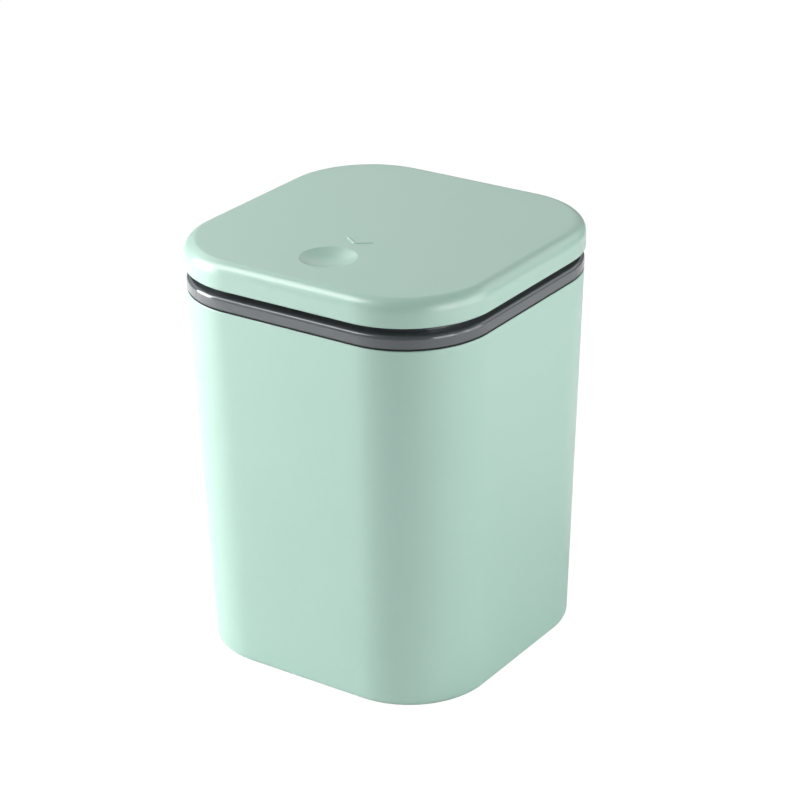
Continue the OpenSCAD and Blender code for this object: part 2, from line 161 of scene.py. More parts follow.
# %% Profiles with rounded corners
def rounded_profile(corners, closed=False, steps=6, guard=0.12 * MM):
    """A chain of points through corners (inset, height, radius), with an arc in each corner.

    The arc touches both legs at radius / tan(half the angle) from the corner, and its centre
    lies on the bisector at radius / sin(half the angle).
    """
    data = np.asarray(corners, float)
    points, radii = data[:, :2], data[:, 2]
    count, chain = len(points), []
    for i in range(count):
        point, radius = points[i], radii[i]
        if radius <= 0 or (not closed and i in (0, count - 1)):
            chain.append(point[None])
            continue
        back = points[i - 1] - point
        ahead = points[(i + 1) % count] - point
        room = min(np.linalg.norm(back), np.linalg.norm(ahead))
        back, ahead = back / np.linalg.norm(back), ahead / np.linalg.norm(ahead)
        half = 0.5 * math.acos(float(np.clip(back @ ahead, -1, 1)))
        reach = radius / math.tan(half)
        centre = point + (back + ahead) / np.linalg.norm(back + ahead) * radius / math.sin(half)
        start, end = point + back * reach, point + ahead * reach
        t = np.linspace(0, 1, steps + 1)[:, None]
        span = math.pi - 2 * half
        arc = centre + (np.sin((1 - t) * span) * (start - centre)
                        + np.sin(t * span) * (end - centre)) / math.sin(span)
        edge = min(guard, 0.3 * max(room - reach, 0))
        chain += [(start + back * edge)[None], arc, (end + ahead * edge)[None]]
    return np.concatenate(chain)


# %% [markdown]
# A surface on a grid is turned into a mesh in one step: each cell of the grid is a face, and a
# grid that ends in a small ring is closed with a fan of triangles round one point.

# %% From a grid of points to an object
def mesh_object(name, points, faces, sharp=38):
    """An object at the origin from arrays of points and of faces with 3 or 4 corners each."""
    mesh = bpy.data.meshes.new(name)
    mesh.from_pydata(points.tolist(), [], faces)
    mesh.polygons.foreach_set("use_smooth", np.ones(len(mesh.polygons), bool))
    mesh.set_sharp_from_angle(angle=math.radians(sharp))
    piece = bpy.data.objects.new(name, mesh)
    bpy.context.scene.collection.objects.link(piece)
    return piece


def grid_faces(rows, columns, join_rows=False, join_columns=True):
    """Corner numbers of the grid's cells: this point, the next in its row, and the two above."""
    row = np.arange(rows if join_rows else rows - 1)[:, None]
    column = np.arange(columns if join_columns else columns - 1)[None, :]
    above, beside = (row + 1) % rows, (column + 1) % columns
    cells = [row * columns + column, row * columns + beside,
             above * columns + beside, above * columns + column]
    return np.stack(np.broadcast_arrays(*cells), -1).reshape(-1, 4)


def skin(name, grid, join_rows=False, sharp=38):
    """A closed object over a grid of rings. Its ends are joined, or each gets a fan of triangles."""
    rows, columns = grid.shape[:2]
    points = grid.reshape(-1, 3)
    faces = grid_faces(rows, columns, join_rows).tolist()
    if not join_rows:
        first = np.arange(columns)
        last = first + (rows - 1) * columns
        low, high = len(points), len(points) + 1
        points = np.concatenate([points, grid[0].mean(0)[None], grid[-1].mean(0)[None]])
        faces += np.stack([np.full(columns, low), np.roll(first, -1), first], 1).tolist()
        faces += np.stack([np.full(columns, high), last, np.roll(last, -1)], 1).tolist()
    return mesh_object(name, points, faces, sharp)


# %% [markdown]
# ## Plastic and steel
# All the mouldings share two effects: a faint cloudiness of the dyed plastic, and the fine grain
# that the steel mould leaves. They are node groups with named inputs, so each finish only sets
# its own values. The shader itself stays in each material, so that gloss and colour stay plain.

# %% Small helpers for nodes
def add_node(tree, kind, **settings):
    """A new node of that kind, with its properties set."""
    made = tree.nodes.new(kind)
    for key, value in settings.items():
        setattr(made, key, value)
    return made


def maths(tree, operation, first, second):
    """A Math node. A number goes into its socket, anything else is linked to it."""
    made = add_node(tree, "ShaderNodeMath", operation=operation)
    for socket, value in zip(made.inputs, (first, second)):
        if isinstance(value, (int, float)):
            socket.default_value = value
        else:
            tree.links.new(value, socket)
    return made.outputs[0]


def new_group(name, inputs, outputs):
    """An empty node group with its sockets, and its input and output nodes."""
    group = bpy.data.node_groups.new(name, "ShaderNodeTree")
    for label, (kind, value) in inputs.items():
        socket = group.interface.new_socket(name=label, in_out="INPUT", socket_type=kind)
        if value is not None:
            socket.default_value = value
    for label, kind in outputs.items():
        group.interface.new_socket(name=label, in_out="OUTPUT", socket_type=kind)
    return group, group.nodes.new("NodeGroupInput"), group.nodes.new("NodeGroupOutput")


# %% Cloudiness of a dyed plastic
def make_cloud_group():
    """Colour and roughness that drift slowly, by two noises with patches of 25 mm and 3 mm."""
    group, entry, leave = new_group(
        "plastic_cloud",
        {"Colour": ("NodeSocketColor", (0.5, 0.5, 0.5, 1)), "Drift": ("NodeSocketFloat", 0.03),
         "Roughness": ("NodeSocketFloat", 0.4), "Roughness drift": ("NodeSocketFloat", 0.05)},
        {"Colour": "NodeSocketColor", "Roughness": "NodeSocketFloat"})
    place = add_node(group, "ShaderNodeTexCoord").outputs["Object"]
    patches = []
    for patches_per_metre, detail in ((40, 3), (330, 4)):
        noise = add_node(group, "ShaderNodeTexNoise")
        noise.inputs["Scale"].default_value = patches_per_metre
        noise.inputs["Detail"].default_value = detail
        group.links.new(place, noise.inputs["Vector"])
        patches.append(noise.outputs["Fac"])
    fine_share = 0.5
    both = maths(group, "ADD", patches[0], maths(group, "MULTIPLY", patches[1], fine_share))
    centred = maths(group, "SUBTRACT", both, 0.5 * (1 + fine_share))
    bright = maths(group, "ADD", 1.0, maths(group, "MULTIPLY", centred, entry.outputs["Drift"]))
    tint = add_node(group, "ShaderNodeVectorMath", operation="SCALE")
    group.links.new(entry.outputs["Colour"], tint.inputs[0])
    group.links.new(bright, tint.inputs["Scale"])
    group.links.new(tint.outputs[0], leave.inputs["Colour"])
    swing = maths(group, "MULTIPLY", centred, entry.outputs["Roughness drift"])
    group.links.new(maths(group, "ADD", entry.outputs["Roughness"], swing), leave.inputs["Roughness"])
    return group


# %% Grain of the mould
def make_grain_group():
    """Height of a mould's spark-eroded grain: fine rounded pits, broken up by a coarser noise."""
    group, entry, leave = new_group(
        "mould_grain",
        {"Grains per metre": ("NodeSocketFloat", 2600.0), "Height": ("NodeSocketFloat", 1.0)},
        {"Height": "NodeSocketFloat"})
    place = add_node(group, "ShaderNodeTexCoord").outputs["Object"]
    fine = add_node(group, "ShaderNodeTexNoise")
    fine.inputs["Detail"].default_value = 2
    coarse = add_node(group, "ShaderNodeTexVoronoi", feature="SMOOTH_F1")
    coarse_share = 0.6
    for texture in (fine, coarse):
        group.links.new(place, texture.inputs["Vector"])
    group.links.new(entry.outputs["Grains per metre"], fine.inputs["Scale"])
    group.links.new(maths(group, "MULTIPLY", entry.outputs["Grains per metre"], coarse_share),
                    coarse.inputs["Scale"])
    mixed = maths(group, "ADD", fine.outputs["Fac"],
                  maths(group, "MULTIPLY", coarse.outputs["Distance"], coarse_share))
    group.links.new(maths(group, "MULTIPLY", mixed, entry.outputs["Height"]), leave.inputs["Height"])
    return group


CLOUD = make_cloud_group()
GRAIN = make_grain_group()


# %% [markdown]
# A plastic is then a Principled shader with those two groups in front of it. Polypropylene lets a
# little light in, which is what makes a pastel bin look soft, so it gets a thin subsurface share.

# %% A moulded plastic
def plastic(name, colour, roughness, drift=0.03, roughness_drift=0.05, grain=0.02 * MM,
            grains=2600, gloss=0.5, coat=0.0, coat_roughness=0.1, depth=0.0):
    """A material for a moulding: clouded colour, grain as bump, and fixed values on the shader."""
    material = bpy.data.materials.new(name)
    material.use_nodes = True
    tree = material.node_tree
    shader = tree.nodes["Principled BSDF"]
    cloud = add_node(tree, "ShaderNodeGroup", node_tree=CLOUD)
    cloud.inputs["Colour"].default_value = (*colour, 1)
    cloud.inputs["Drift"].default_value = drift
    cloud.inputs["Roughness"].default_value = roughness
    cloud.inputs["Roughness drift"].default_value = roughness_drift
    tree.links.new(cloud.outputs["Colour"], shader.inputs["Base Color"])
    tree.links.new(cloud.outputs["Roughness"], shader.inputs["Roughness"])
    pits = add_node(tree, "ShaderNodeGroup", node_tree=GRAIN)
    pits.inputs["Grains per metre"].default_value = grains
    bump = add_node(tree, "ShaderNodeBump")
    bump.inputs["Distance"].default_value = grain
    bump.inputs["Strength"].default_value = 1.0
    tree.links.new(pits.outputs["Height"], bump.inputs["Height"])
    tree.links.new(bump.outputs["Normal"], shader.inputs["Normal"])
    shader.inputs["Specular IOR Level"].default_value = gloss
    shader.inputs["Coat Weight"].default_value = coat
    shader.inputs["Coat Roughness"].default_value = coat_roughness
    shader.inputs["Subsurface Weight"].default_value = depth
    shader.inputs["Subsurface Radius"].default_value = (1.0, 1.3, 1.15)
    shader.inputs["Subsurface Scale"].default_value = 1.2 * MM
    return material


# %% Drawn steel wire
def drawn_steel(name, colour, roughness):
    """Steel whose roughness, shade and bump all follow one fine noise, as on a drawn surface."""
    material = bpy.data.materials.new(name)
    material.use_nodes = True
    tree = material.node_tree
    shader = tree.nodes["Principled BSDF"]
    place = add_node(tree, "ShaderNodeTexCoord").outputs["Object"]
    noise = add_node(tree, "ShaderNodeTexNoise")
    noise.inputs["Scale"].default_value = 2200
    noise.inputs["Detail"].default_value = 3
    tree.links.new(place, noise.inputs["Vector"])

    def swing(middle, spread):
        """The noise as a value that swings about the middle, by the spread in all."""
        return maths(tree, "ADD", middle - spread / 2,
                     maths(tree, "MULTIPLY", noise.outputs["Fac"], spread))

    tree.links.new(swing(roughness, 0.16), shader.inputs["Roughness"])
    tint = add_node(tree, "ShaderNodeVectorMath", operation="SCALE")
    tint.inputs[0].default_value = colour
    tree.links.new(swing(1.0, 0.24), tint.inputs["Scale"])
    tree.links.new(tint.outputs[0], shader.inputs["Base Color"])
    shader.inputs["Metallic"].default_value = 1.0
    bump = add_node(tree, "ShaderNodeBump")
    bump.inputs["Distance"].default_value = 0.004 * MM
    tree.links.new(noise.outputs["Fac"], bump.inputs["Height"])
    tree.links.new(bump.outputs["Normal"], shader.inputs["Normal"])
    return material


# %% The finishes of this bin
MINT = (0.371, 0.556, 0.482)
LID_MINT = (0.370, 0.549, 0.470)
SMOKE = (0.086, 0.096, 0.104)
FINISH = {
    "bucket": plastic("mint_satin", MINT, 0.34, depth=0.08, grain=0.005 * MM,
                      gloss=0.75, coat=0.15, coat_roughness=0.2),
    "lid": plastic("mint_gloss", LID_MINT, 0.30, depth=0.08, grain=0.005 * MM,
                   gloss=0.75, coat=0.15, coat_roughness=0.18),
    "mark": plastic("mint_polished", MINT, 0.16, grain=0.002 * MM),
    "collar": plastic("smoke_gloss", SMOKE, 0.12, drift=0.06, roughness_drift=0.04,
                      grain=0.001 * MM, coat=0.5, coat_roughness=0.03),
    # painted shade: this near-black matt finish draws the shadow in the joint under the collar's band
    "seam": plastic("painted_shade_black", (0.014, 0.017, 0.016), 0.75, gloss=0.2),
    "inner": plastic("dark_grey_matt", (0.06, 0.068, 0.075), 0.5, grain=0.012 * MM),
    "acetal": plastic("acetal_white", (0.76, 0.76, 0.71), 0.3, grain=0.003 * MM, depth=0.1),
    "steel": drawn_steel("bright_wire", (0.62, 0.63, 0.65), 0.24),
}
print("finishes:", list(FINISH))


def dress(piece, finish, body, slot, *nodes):
    """Gives a piece its finish and its body, and hides the nodes it stands for. The slot is not used.
    """
    piece.data.materials.clear()
    piece.data.materials.append(FINISH[finish])
    if body:
        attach(piece, body)
    if nodes:
        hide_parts(*nodes)
    return piece


# %% [markdown]
# ## The bucket
# The pail is drawn as half a section and carried round the outline. Its wall leans out by 4.1 mm
# from foot to rim, and the corner radius grows by 1 mm, so both are worked out from the height.
# The lower edge and the rim are small arcs, and the underside has the raised foot ring on which
# the bin stands.

# %% Bucket
SHELL_TABLE = outline_table(corner_steps=36, side_steps=14)


def bucket_rings(profile):
    """Rings of the pail: at height z, half width and corner radius grow in step, less the inset."""
    inset, z = profile.T
    share = z / RIM_Z
    half = BASE_HALF + (RIM_HALF - BASE_HALF) * share - inset
    corner = BASE_CORNER + (RIM_CORNER - BASE_CORNER) * share - inset
    return rings(half, corner, z, SHELL_TABLE)


foot_inner = BASE_EDGE + FOOT_WIDTH
floor_z = FOOT_HEIGHT + FLOOR
floor_middle = 0.9 * BASE_HALF
bucket_profile = rounded_profile([
    (floor_middle, FOOT_HEIGHT, 0),
    (foot_inner + FOOT_SLOPE, FOOT_HEIGHT, FINE_EDGE),
    (foot_inner, 0, FINE_EDGE),
    (0, 0, BASE_EDGE),
    (0, RIM_Z / 3, 0),
    (0, 2 * RIM_Z / 3, 0),
    (0, RIM_Z, RIM_EDGE),
    (BUCKET_WALL, RIM_Z, SOFT_EDGE),
    (BUCKET_WALL, RIM_Z / 2, 0),
    (BUCKET_WALL, floor_z, BASE_EDGE),
    (floor_middle, floor_z, 0),
])
bucket = skin("bucket_shell", bucket_rings(bucket_profile))
dress(bucket, "bucket", "bucket", "mint", "bucket")
print("bucket:", len(bucket.data.polygons), "faces")

# %% [markdown]
# ## The collar
# The collar is an endless moulding: band, rounded shoulder, ledge, neck and skirt in one closed
# profile. The hinge sits in a trough across the back. It isn't cut out: points of the surface that
# lie inside the trough's cylinder are pushed straight away from its axis onto it, and at each end
# of the trough two columns of points lie so close together that they form its end wall.

# %% Collar ring
TROUGH_RADIUS = 2.9 * MM
TROUGH_HALF = 22 * MM
PROFILE_STEP = 0.7 * MM
BAND_EDGE = 0.12 * MM
SKIRT_EDGE = 0.2 * MM
SKIRT_INSET = BUCKET_WALL + SKIRT_GAP
skirt_lean = (RIM_HALF - BASE_HALF) / RIM_Z * SKIRT_LENGTH
collar_profile = rounded_profile([
    (SEAM_DEPTH, BAND_FOOT, CRISP_EDGE),
    (SEAM_DEPTH, RIM_Z + SEAM_HEIGHT, CRISP_EDGE),
    (0, RIM_Z + SEAM_HEIGHT, BAND_EDGE),
    (0, BAND_TOP, SHOULDER),
    (NECK_INSET, BAND_TOP, FINE_EDGE),
    (NECK_INSET, NECK_TOP, SOFT_EDGE),
    (NECK_INSET + NECK_WALL, NECK_TOP, SOFT_EDGE),
    (NECK_INSET + NECK_WALL, BAND_TOP - LEDGE, FINE_EDGE),
    (SKIRT_INSET + SKIRT_WALL, BAND_TOP - LEDGE, FINE_EDGE),
    (SKIRT_INSET + SKIRT_WALL + skirt_lean, RIM_Z - SKIRT_LENGTH, SOFT_EDGE),
    (SKIRT_INSET + skirt_lean, RIM_Z - SKIRT_LENGTH, SOFT_EDGE),
    (SKIRT_INSET, BAND_FOOT, SKIRT_EDGE),
], closed=True, steps=8)


def refine(profile, longest):
    """Adds evenly spaced points to each stretch of a closed profile that is longer than longest."""
    ahead = np.roll(profile, -1, axis=0)
    parts = np.maximum(1, np.ceil(np.linalg.norm(ahead - profile, axis=1) / longest)).astype(int)
    return np.concatenate([a + (b - a) * np.arange(n)[:, None] / n
                           for a, b, n in zip(profile, ahead, parts)])


def trough_table(end_wall=0.0004, clear=0.02):
    """The shared outline, with the back side's points doubled at the two ends of the trough.

    The points of a pair stand end_wall apart, and other points nearer than clear are left out. Both
    are shares of the inner square's half side.
    """
    directions, places = outline_table(corner_steps=36, side_steps=40)
    back = (directions[:, 1] > 0.999) & (np.abs(places[:, 0]) < 0.9999)
    ends = TROUGH_HALF / (RIM_HALF - RIM_CORNER)
    wanted = np.array([ends + end_wall, ends, -ends, -ends - end_wall])
    extra = np.stack([wanted, np.ones(4)], 1)
    keep = ~back | (np.abs(np.abs(places[:, 0]) - ends) > clear)
    back_directions = np.concatenate([directions[back & keep], np.tile([0.0, 1.0], (4, 1))])
    back_places = np.concatenate([places[back & keep], extra])
    order = np.argsort(-back_places[:, 0])
    first = np.flatnonzero(back)[0]
    last = np.flatnonzero(back)[-1] + 1
    return (np.concatenate([directions[:first], back_directions[order], directions[last:]]),
            np.concatenate([places[:first], back_places[order], places[last:]]))


collar_profile = refine(collar_profile, PROFILE_STEP)
collar_grid = rings(RIM_HALF - collar_profile[:, 0], RIM_CORNER - collar_profile[:, 0],
                    collar_profile[:, 1], trough_table())
across = collar_grid[..., 1] - HINGE_Y
up = collar_grid[..., 2] - HINGE_Z
distance = np.hypot(across, up)
inside = (distance < TROUGH_RADIUS) & (np.abs(collar_grid[..., 0]) <= TROUGH_HALF + 0.001 * MM)
inside &= (collar_grid[..., 1] > 0) & (up < 0)
push = np.where(inside, TROUGH_RADIUS / np.maximum(distance, 1e-9), 1.0)
collar_grid[..., 1] = HINGE_Y + across * push
collar_grid[..., 2] = HINGE_Z + up * push
collar = skin("collar_ring", collar_grid, join_rows=True)
dress(collar, "collar", "collar", "smoke", "collar")
print("collar:", len(collar.data.polygons), "faces")

# %% [markdown]
# In the photograph a thin black line runs between the band and the bucket's rim. It is the shadow
# in the joint, and it is drawn as a matt lip under the band, set back a little from its face.

# %% Painted shade lip under the band
# The lip is painted shade: a near-black matt ring under the band stands for the joint's shadow and is
# not a part of the bin.
SHADE_LIP_INSET = 0.1 * MM
SHADE_LIP_FOOT = RIM_Z + 0.02 * MM
shade_lip_profile = rounded_profile([
    (SHADE_LIP_INSET, SHADE_LIP_FOOT, CRISP_EDGE),
    (SHADE_LIP_INSET, RIM_Z + SEAM_HEIGHT, CRISP_EDGE),
    (SEAM_DEPTH, RIM_Z + SEAM_HEIGHT, CRISP_EDGE),
    (SEAM_DEPTH, SHADE_LIP_FOOT, CRISP_EDGE),
], closed=True, steps=3)
shade_lip_grid = rings(RIM_HALF - shade_lip_profile[:, 0], RIM_CORNER - shade_lip_profile[:, 0], shade_lip_profile[:, 1],
                 SHELL_TABLE)
dress(skin("painted_shade_lip", shade_lip_grid, join_rows=True), "seam", "collar", "inner_grey")

# %% [markdown]
# The collar's two hinge knuckles are round at the top and run straight down into the ledge, with a
# bore for the pin. One closed profile goes out along the outer face, in through the end and back
# through the bore, and each of its points is one row of the grid.

# %% Collar knuckles
KNUCKLE_RADIUS = 2.4 * MM
BORE_RADIUS = PIN_RADIUS + 0.05 * MM
KNUCKLE_WIDTH = 7 * MM
KNUCKLE_POINTS = 64
KNUCKLE_FOOT = BAND_TOP - LEDGE / 2 - HINGE_Z
PIN_HALF = pin_high.x


def knuckle(name, x_low, edge=FINE_EDGE):
    """A hinge knuckle along X from x_low: an arch over the axis on a foot, with a round bore.

    The arch's outline is a circle. Its lower half is stretched to a square that is clipped to the
    knuckle's width and to the foot, which lies KNUCKLE_FOOT below the axis.
    """
    angle = np.linspace(0, 2 * np.pi, KNUCKLE_POINTS, endpoint=False)
    circle = np.stack([np.cos(angle), np.sin(angle)], 1)
    arch = circle * KNUCKLE_RADIUS
    lower = circle[:, 1] < 0
    square = np.clip(circle * 1.5, -1, 1)
    arch[lower] = square[lower] * [KNUCKLE_RADIUS, -KNUCKLE_FOOT]
    inner = arch - circle * edge
    bore = circle * BORE_RADIUS
    x_high = x_low + KNUCKLE_WIDTH
    sections = [(x_low, inner), (x_low + edge, arch), (x_low + 2 * edge, arch),
                (x_high - 2 * edge, arch), (x_high - edge, arch), (x_high, inner),
                (x_high, bore), (x_low, bore)]
    axis = [HINGE_Y, HINGE_Z]
    grid = np.stack([np.concatenate([np.full((KNUCKLE_POINTS, 1), x), flat + axis], 1)
                     for x, flat in sections])
    return skin(name, grid, join_rows=True, sharp=50)


for side, x_low in (("left", -PIN_HALF), ("right", PIN_HALF - KNUCKLE_WIDTH)):
    dress(knuckle(f"collar_knuckle_{side}", x_low), "collar", "collar", "smoke")

# %% [markdown]
# ## Edges on the inner mouldings
# The latch and the lid's panel are made exactly in the construction, but with knife-sharp edges.
# A copy of each is merged into clean faces and gets a small bevel, because the soft highlight on
# an edge is what makes a part look moulded.

# %% Softened copies of exact parts
def softened(name, node, width, finish, body, slot):
    """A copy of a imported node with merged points, flat faces joined, and bevelled sharp edges."""
    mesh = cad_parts[node].data.copy()
    work = bmesh.new()
    work.from_mesh(mesh)
    bmesh.ops.remove_doubles(work, verts=work.verts, dist=0.002 * MM)
    bmesh.ops.dissolve_limit(work, angle_limit=math.radians(1), verts=work.verts, edges=work.edges)
    work.to_mesh(mesh)
    work.free()
    mesh.polygons.foreach_set("use_smooth", np.ones(len(mesh.polygons), bool))
    mesh.set_sharp_from_angle(angle=math.radians(35))
    piece = bpy.data.objects.new(name, mesh)
    bpy.context.scene.collection.objects.link(piece)
    bevel = piece.modifiers.new("edges", "BEVEL")
    bevel.width = width
    bevel.segments = 2
    bevel.limit_method = "ANGLE"
    bevel.angle_limit = math.radians(50)
    return dress(piece, finish, body, slot, node)


softened("panel_moulding", "lid_panel", 0.25 * MM, "inner", "lid", "inner_grey")
softened("case_moulding", "latch_case", 0.2 * MM, "inner", "collar", "inner_grey")
softened("slider_moulding", "latch_slider", 0.12 * MM, "acetal", "latch_slider", "acetal")
for node, body in (("lid_screws", "lid"), ("latch_screws", "collar"), ("hinge_pin", "hinge_pin"),
                   ("latch_wire", "latch_wire")):
    softened(f"{node}_bright", node, 0.06 * MM, "steel", body, "steel")

# %% [markdown]
# The latch hangs on a plate that drops from the collar's neck, with two round bosses behind it for
# the screws.

# %% Latch plate of the collar
case_low, case_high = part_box("latch_case")
screw_low, screw_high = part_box("latch_screws")
PLATE_HALF = 14 * MM
PLATE_CORNER = 1.5 * MM
PLATE_SINK = 0.4 * MM
PLATE_BACK = -(RIM_HALF - NECK_INSET - NECK_WALL)
BOSS_RADIUS = 2.6 * MM
BOSS_FLARE = 0.3 * MM
BOSS_FOOT = 0.6 * MM
BOSS_SINK = 0.2 * MM
BOSS_POINTS = 40


def plate_grid(corner=PLATE_CORNER, edge=FINE_EDGE):
    """A flat plate: a rounded rectangle in X and Z, carried along Y with chamfered edges.

    It is sunk a little into the neck, and its front touches the latch case.
    """
    directions, places = outline_table(corner_steps=8, side_steps=6)
    middle = (case_high.z + case_low.z) / 2
    tall = (case_high.z - case_low.z) / 2
    back = PLATE_BACK - PLATE_SINK
    rows = []
    for y, inset in ((back, edge), (back + edge, 0), (case_low.y - edge, 0), (case_low.y, edge)):
        x = places[:, 0] * (PLATE_HALF - corner) + directions[:, 0] * (corner - inset)
        z = middle + places[:, 1] * (tall - corner) + directions[:, 1] * (corner - inset)
        rows.append(np.stack([x, np.full_like(x, y), z], 1))
    return np.stack(rows)[::-1]


def boss_grid(x, z):
    """A round boss along Y between the skirt and the plate, wider at its foot."""
    angle = np.linspace(0, 2 * np.pi, BOSS_POINTS, endpoint=False)
    across, up = np.cos(angle), np.sin(angle)
    back = -(RIM_HALF - SKIRT_INSET - SKIRT_WALL) - BOSS_SINK
    rows = [(back, BOSS_RADIUS + BOSS_FLARE), (back + BOSS_FOOT, BOSS_RADIUS),
            (PLATE_BACK, BOSS_RADIUS)]
    return np.stack([np.stack([x + r * across, np.full(BOSS_POINTS, y), z + r * up], 1)
                     for y, r in rows])[::-1]


dress(skin("latch_plate", plate_grid()), "collar", "collar", "smoke")
screw_x = screw_high.x - (screw_high.z - screw_low.z) / 2
screw_z = (screw_high.z + screw_low.z) / 2
for side, x in (("left", -screw_x), ("right", screw_x)):
    dress(skin(f"latch_boss_{side}", boss_grid(x, screw_z)), "collar", "collar", "smoke")

# %% [markdown]
# ## The lid
# The lid's cover is a shallow tray turned over. Its top is a set of rings that close in on the
# thumb dimple, so that the dimple's own edge is one of them. The dimple is a ball's cap whose edge
# is rounded off by a smooth maximum, and the same dish is pressed into the inner face, so the wall
# keeps its thickness there.

# %% Lid cover with its dimple
DIMPLE_RADIUS = 11.25 * MM
DIMPLE_DEPTH = 2.3 * MM
DIMPLE_Y = -LID_HALF + 28.5 * MM
DIMPLE_SOFTNESS = 0.1 * MM
CIRCLE_REACH = 0.3
FLAT_START = LID_EDGE + 0.5 * MM


def dish(x, y):
    """How far the top is pressed down: a ball's cap, with its rim softened.

    Inside the dimple the drop is the ball's depth less the rise of the ball, and outside it is 0.
    The larger of the two is taken as half of drop + sqrt(drop^2 + softness^2). What little is left
    outside fades out between 1.2 and 2 radii from the centre.
    """
    ball = (DIMPLE_RADIUS ** 2 + DIMPLE_DEPTH ** 2) / (2 * DIMPLE_DEPTH)
    away = np.minimum(np.hypot(x, y - DIMPLE_Y), 0.95 * ball)
    drop = DIMPLE_DEPTH - (ball - np.sqrt(ball ** 2 - away ** 2))
    soft = 0.5 * (drop + np.sqrt(drop ** 2 + DIMPLE_SOFTNESS ** 2))
    fade = np.clip((2.0 * DIMPLE_RADIUS - away) / (0.8 * DIMPLE_RADIUS), 0, 1)
    return soft * fade


def lid_part(profile, table):
    """Rings of the lid's side: half width and corner radius both shrink by the inset."""
    return rings(LID_HALF - profile[:, 0], LID_CORNER - profile[:, 0], profile[:, 1], table)


def lid_disc(edge_ring):
    """Rings from the edge in to the dimple's centre, on the straight lines between the two.

    The outer rings close in on the dimple, and the first of them hugs the edge. Between 1.3 and 0.7
    times the dimple's radius each ring is a circle round its centre, at the radius times
    1 + 0.3 * (0.3 * t + 0.7 * t^3) with t from 1 to -1, so the circles are closest together at the
    dimple's edge. The last circles are evenly spaced down to the centre.
    """
    centre = np.array([0, DIMPLE_Y, 0])
    ray = (edge_ring - centre) * [1, 1, 0]
    length = np.linalg.norm(ray, axis=1, keepdims=True)
    start = (1 + CIRCLE_REACH) * DIMPLE_RADIUS
    outer = np.concatenate([[0.003], np.linspace(0, 1, 13)[1:-1]])[:, None, None]
    t = np.linspace(1, -1, 41)
    rim = 1 + CIRCLE_REACH * (0.3 * t + 0.7 * t ** 3)
    bowl = np.linspace(1 - CIRCLE_REACH, 0, 11)[1:-1]
    inner = DIMPLE_RADIUS * np.concatenate([rim, bowl])[:, None, None]
    reach = np.concatenate([length + outer * (start - length), inner + 0 * length])
    disc = centre + ray / length * reach + edge_ring * [0, 0, 1]
    disc[..., 2] -= dish(disc[..., 0], disc[..., 1])
    return disc


LID_TABLE = outline_table(corner_steps=40, side_steps=52)
inner_edge = LID_EDGE - LID_WALL
lid_wall = rounded_profile([
    (FLAT_START, LID_TOP - LID_WALL, 0),
    (LID_WALL, LID_TOP - LID_WALL, inner_edge),
    (LID_WALL, LID_BOTTOM, SOFT_EDGE),
    (0, LID_BOTTOM, LID_LIP),
    (0, LID_TOP, LID_EDGE),
    (FLAT_START, LID_TOP, 0),
], steps=10)
wall_grid = lid_part(lid_wall, LID_TABLE)
lid_grid = np.concatenate([lid_disc(wall_grid[0])[::-1], wall_grid, lid_disc(wall_grid[-1])])
lid = skin("lid_shell", lid_grid)
dress(lid, "lid", "lid", "mint", "lid_cover")
print("lid:", len(lid.data.polygons), "faces")

# %% [markdown]
# A plain chevron beside the dimple points at it. It is an elliptical bar, half sunk in the lid,
# that follows a bent line.

# %% Chevron beside the dimple
MARK_HALF = 6 * MM
MARK_BACK_Y = -17.6 * MM
MARK_TIP_Y = -21.8 * MM
MARK_WIDTH = 1.5 * MM
MARK_HEIGHT = 0.35 * MM
MARK_ROUNDING = 0.5 * MM
MARK_SINK = 0.02 * MM
MARK_LEAST = 0.01 * MM


def chevron_grid():
    """Ellipses across a V whose tip is a smooth curve: y = tip + slope * sqrt(x^2 + rounding^2).

    At both ends the bar's width and height fall along a circle's curve, almost to nothing.
    """
    t = np.sin(np.linspace(-1, 1, 81) * np.pi / 2)
    x = MARK_HALF * t
    slope = (MARK_BACK_Y - MARK_TIP_Y) / MARK_HALF
    y = MARK_TIP_Y + slope * np.sqrt(x ** 2 + MARK_ROUNDING ** 2)
    along = np.stack([np.gradient(x), np.gradient(y)], 1)
    along /= np.linalg.norm(along, axis=1, keepdims=True)
    side = np.stack([-along[:, 1], along[:, 0]], 1)
    ends = np.clip((MARK_HALF - np.abs(x)) / (0.5 * MARK_WIDTH), 0, 1)
    taper = np.sqrt(1 - (1 - ends) ** 2)[:, None]
    angle = np.linspace(0, 2 * np.pi, 24, endpoint=False)
    across = (0.5 * MARK_WIDTH * taper + MARK_LEAST) * np.cos(angle)
    up = (MARK_HEIGHT * taper + MARK_LEAST) * np.sin(angle)
    flat = np.stack([x, y], 1)[:, None] + side[:, None] * across[..., None]
    z = LID_TOP - MARK_SINK + up - dish(flat[..., 0], flat[..., 1])
    return np.concatenate([flat, z[..., None]], 2)


mark = skin("lid_mark", chevron_grid())
dress(mark, "mark", "lid", "mint")

# %% [markdown]
# ## The springs
# Both springs are bare wire, so each is a tube along a line that a formula gives. The torsion
# spring starts as a leg that stands in the collar, winds round the pin and leaves as a leg that
# lifts the lid.

# %% Wire along a line
def wire(name, line, radial, across, radius, sides=12):
    """A round tube: at each point of the line a circle spanned by its two cross directions."""
    angle = np.linspace(0, 2 * np.pi, sides, endpoint=False)
    circle = (np.cos(angle)[None, :, None] * radial[:, None]
              + np.sin(angle)[None, :, None] * across[:, None])
    return skin(name, line[:, None] + radius * circle, sharp=60)


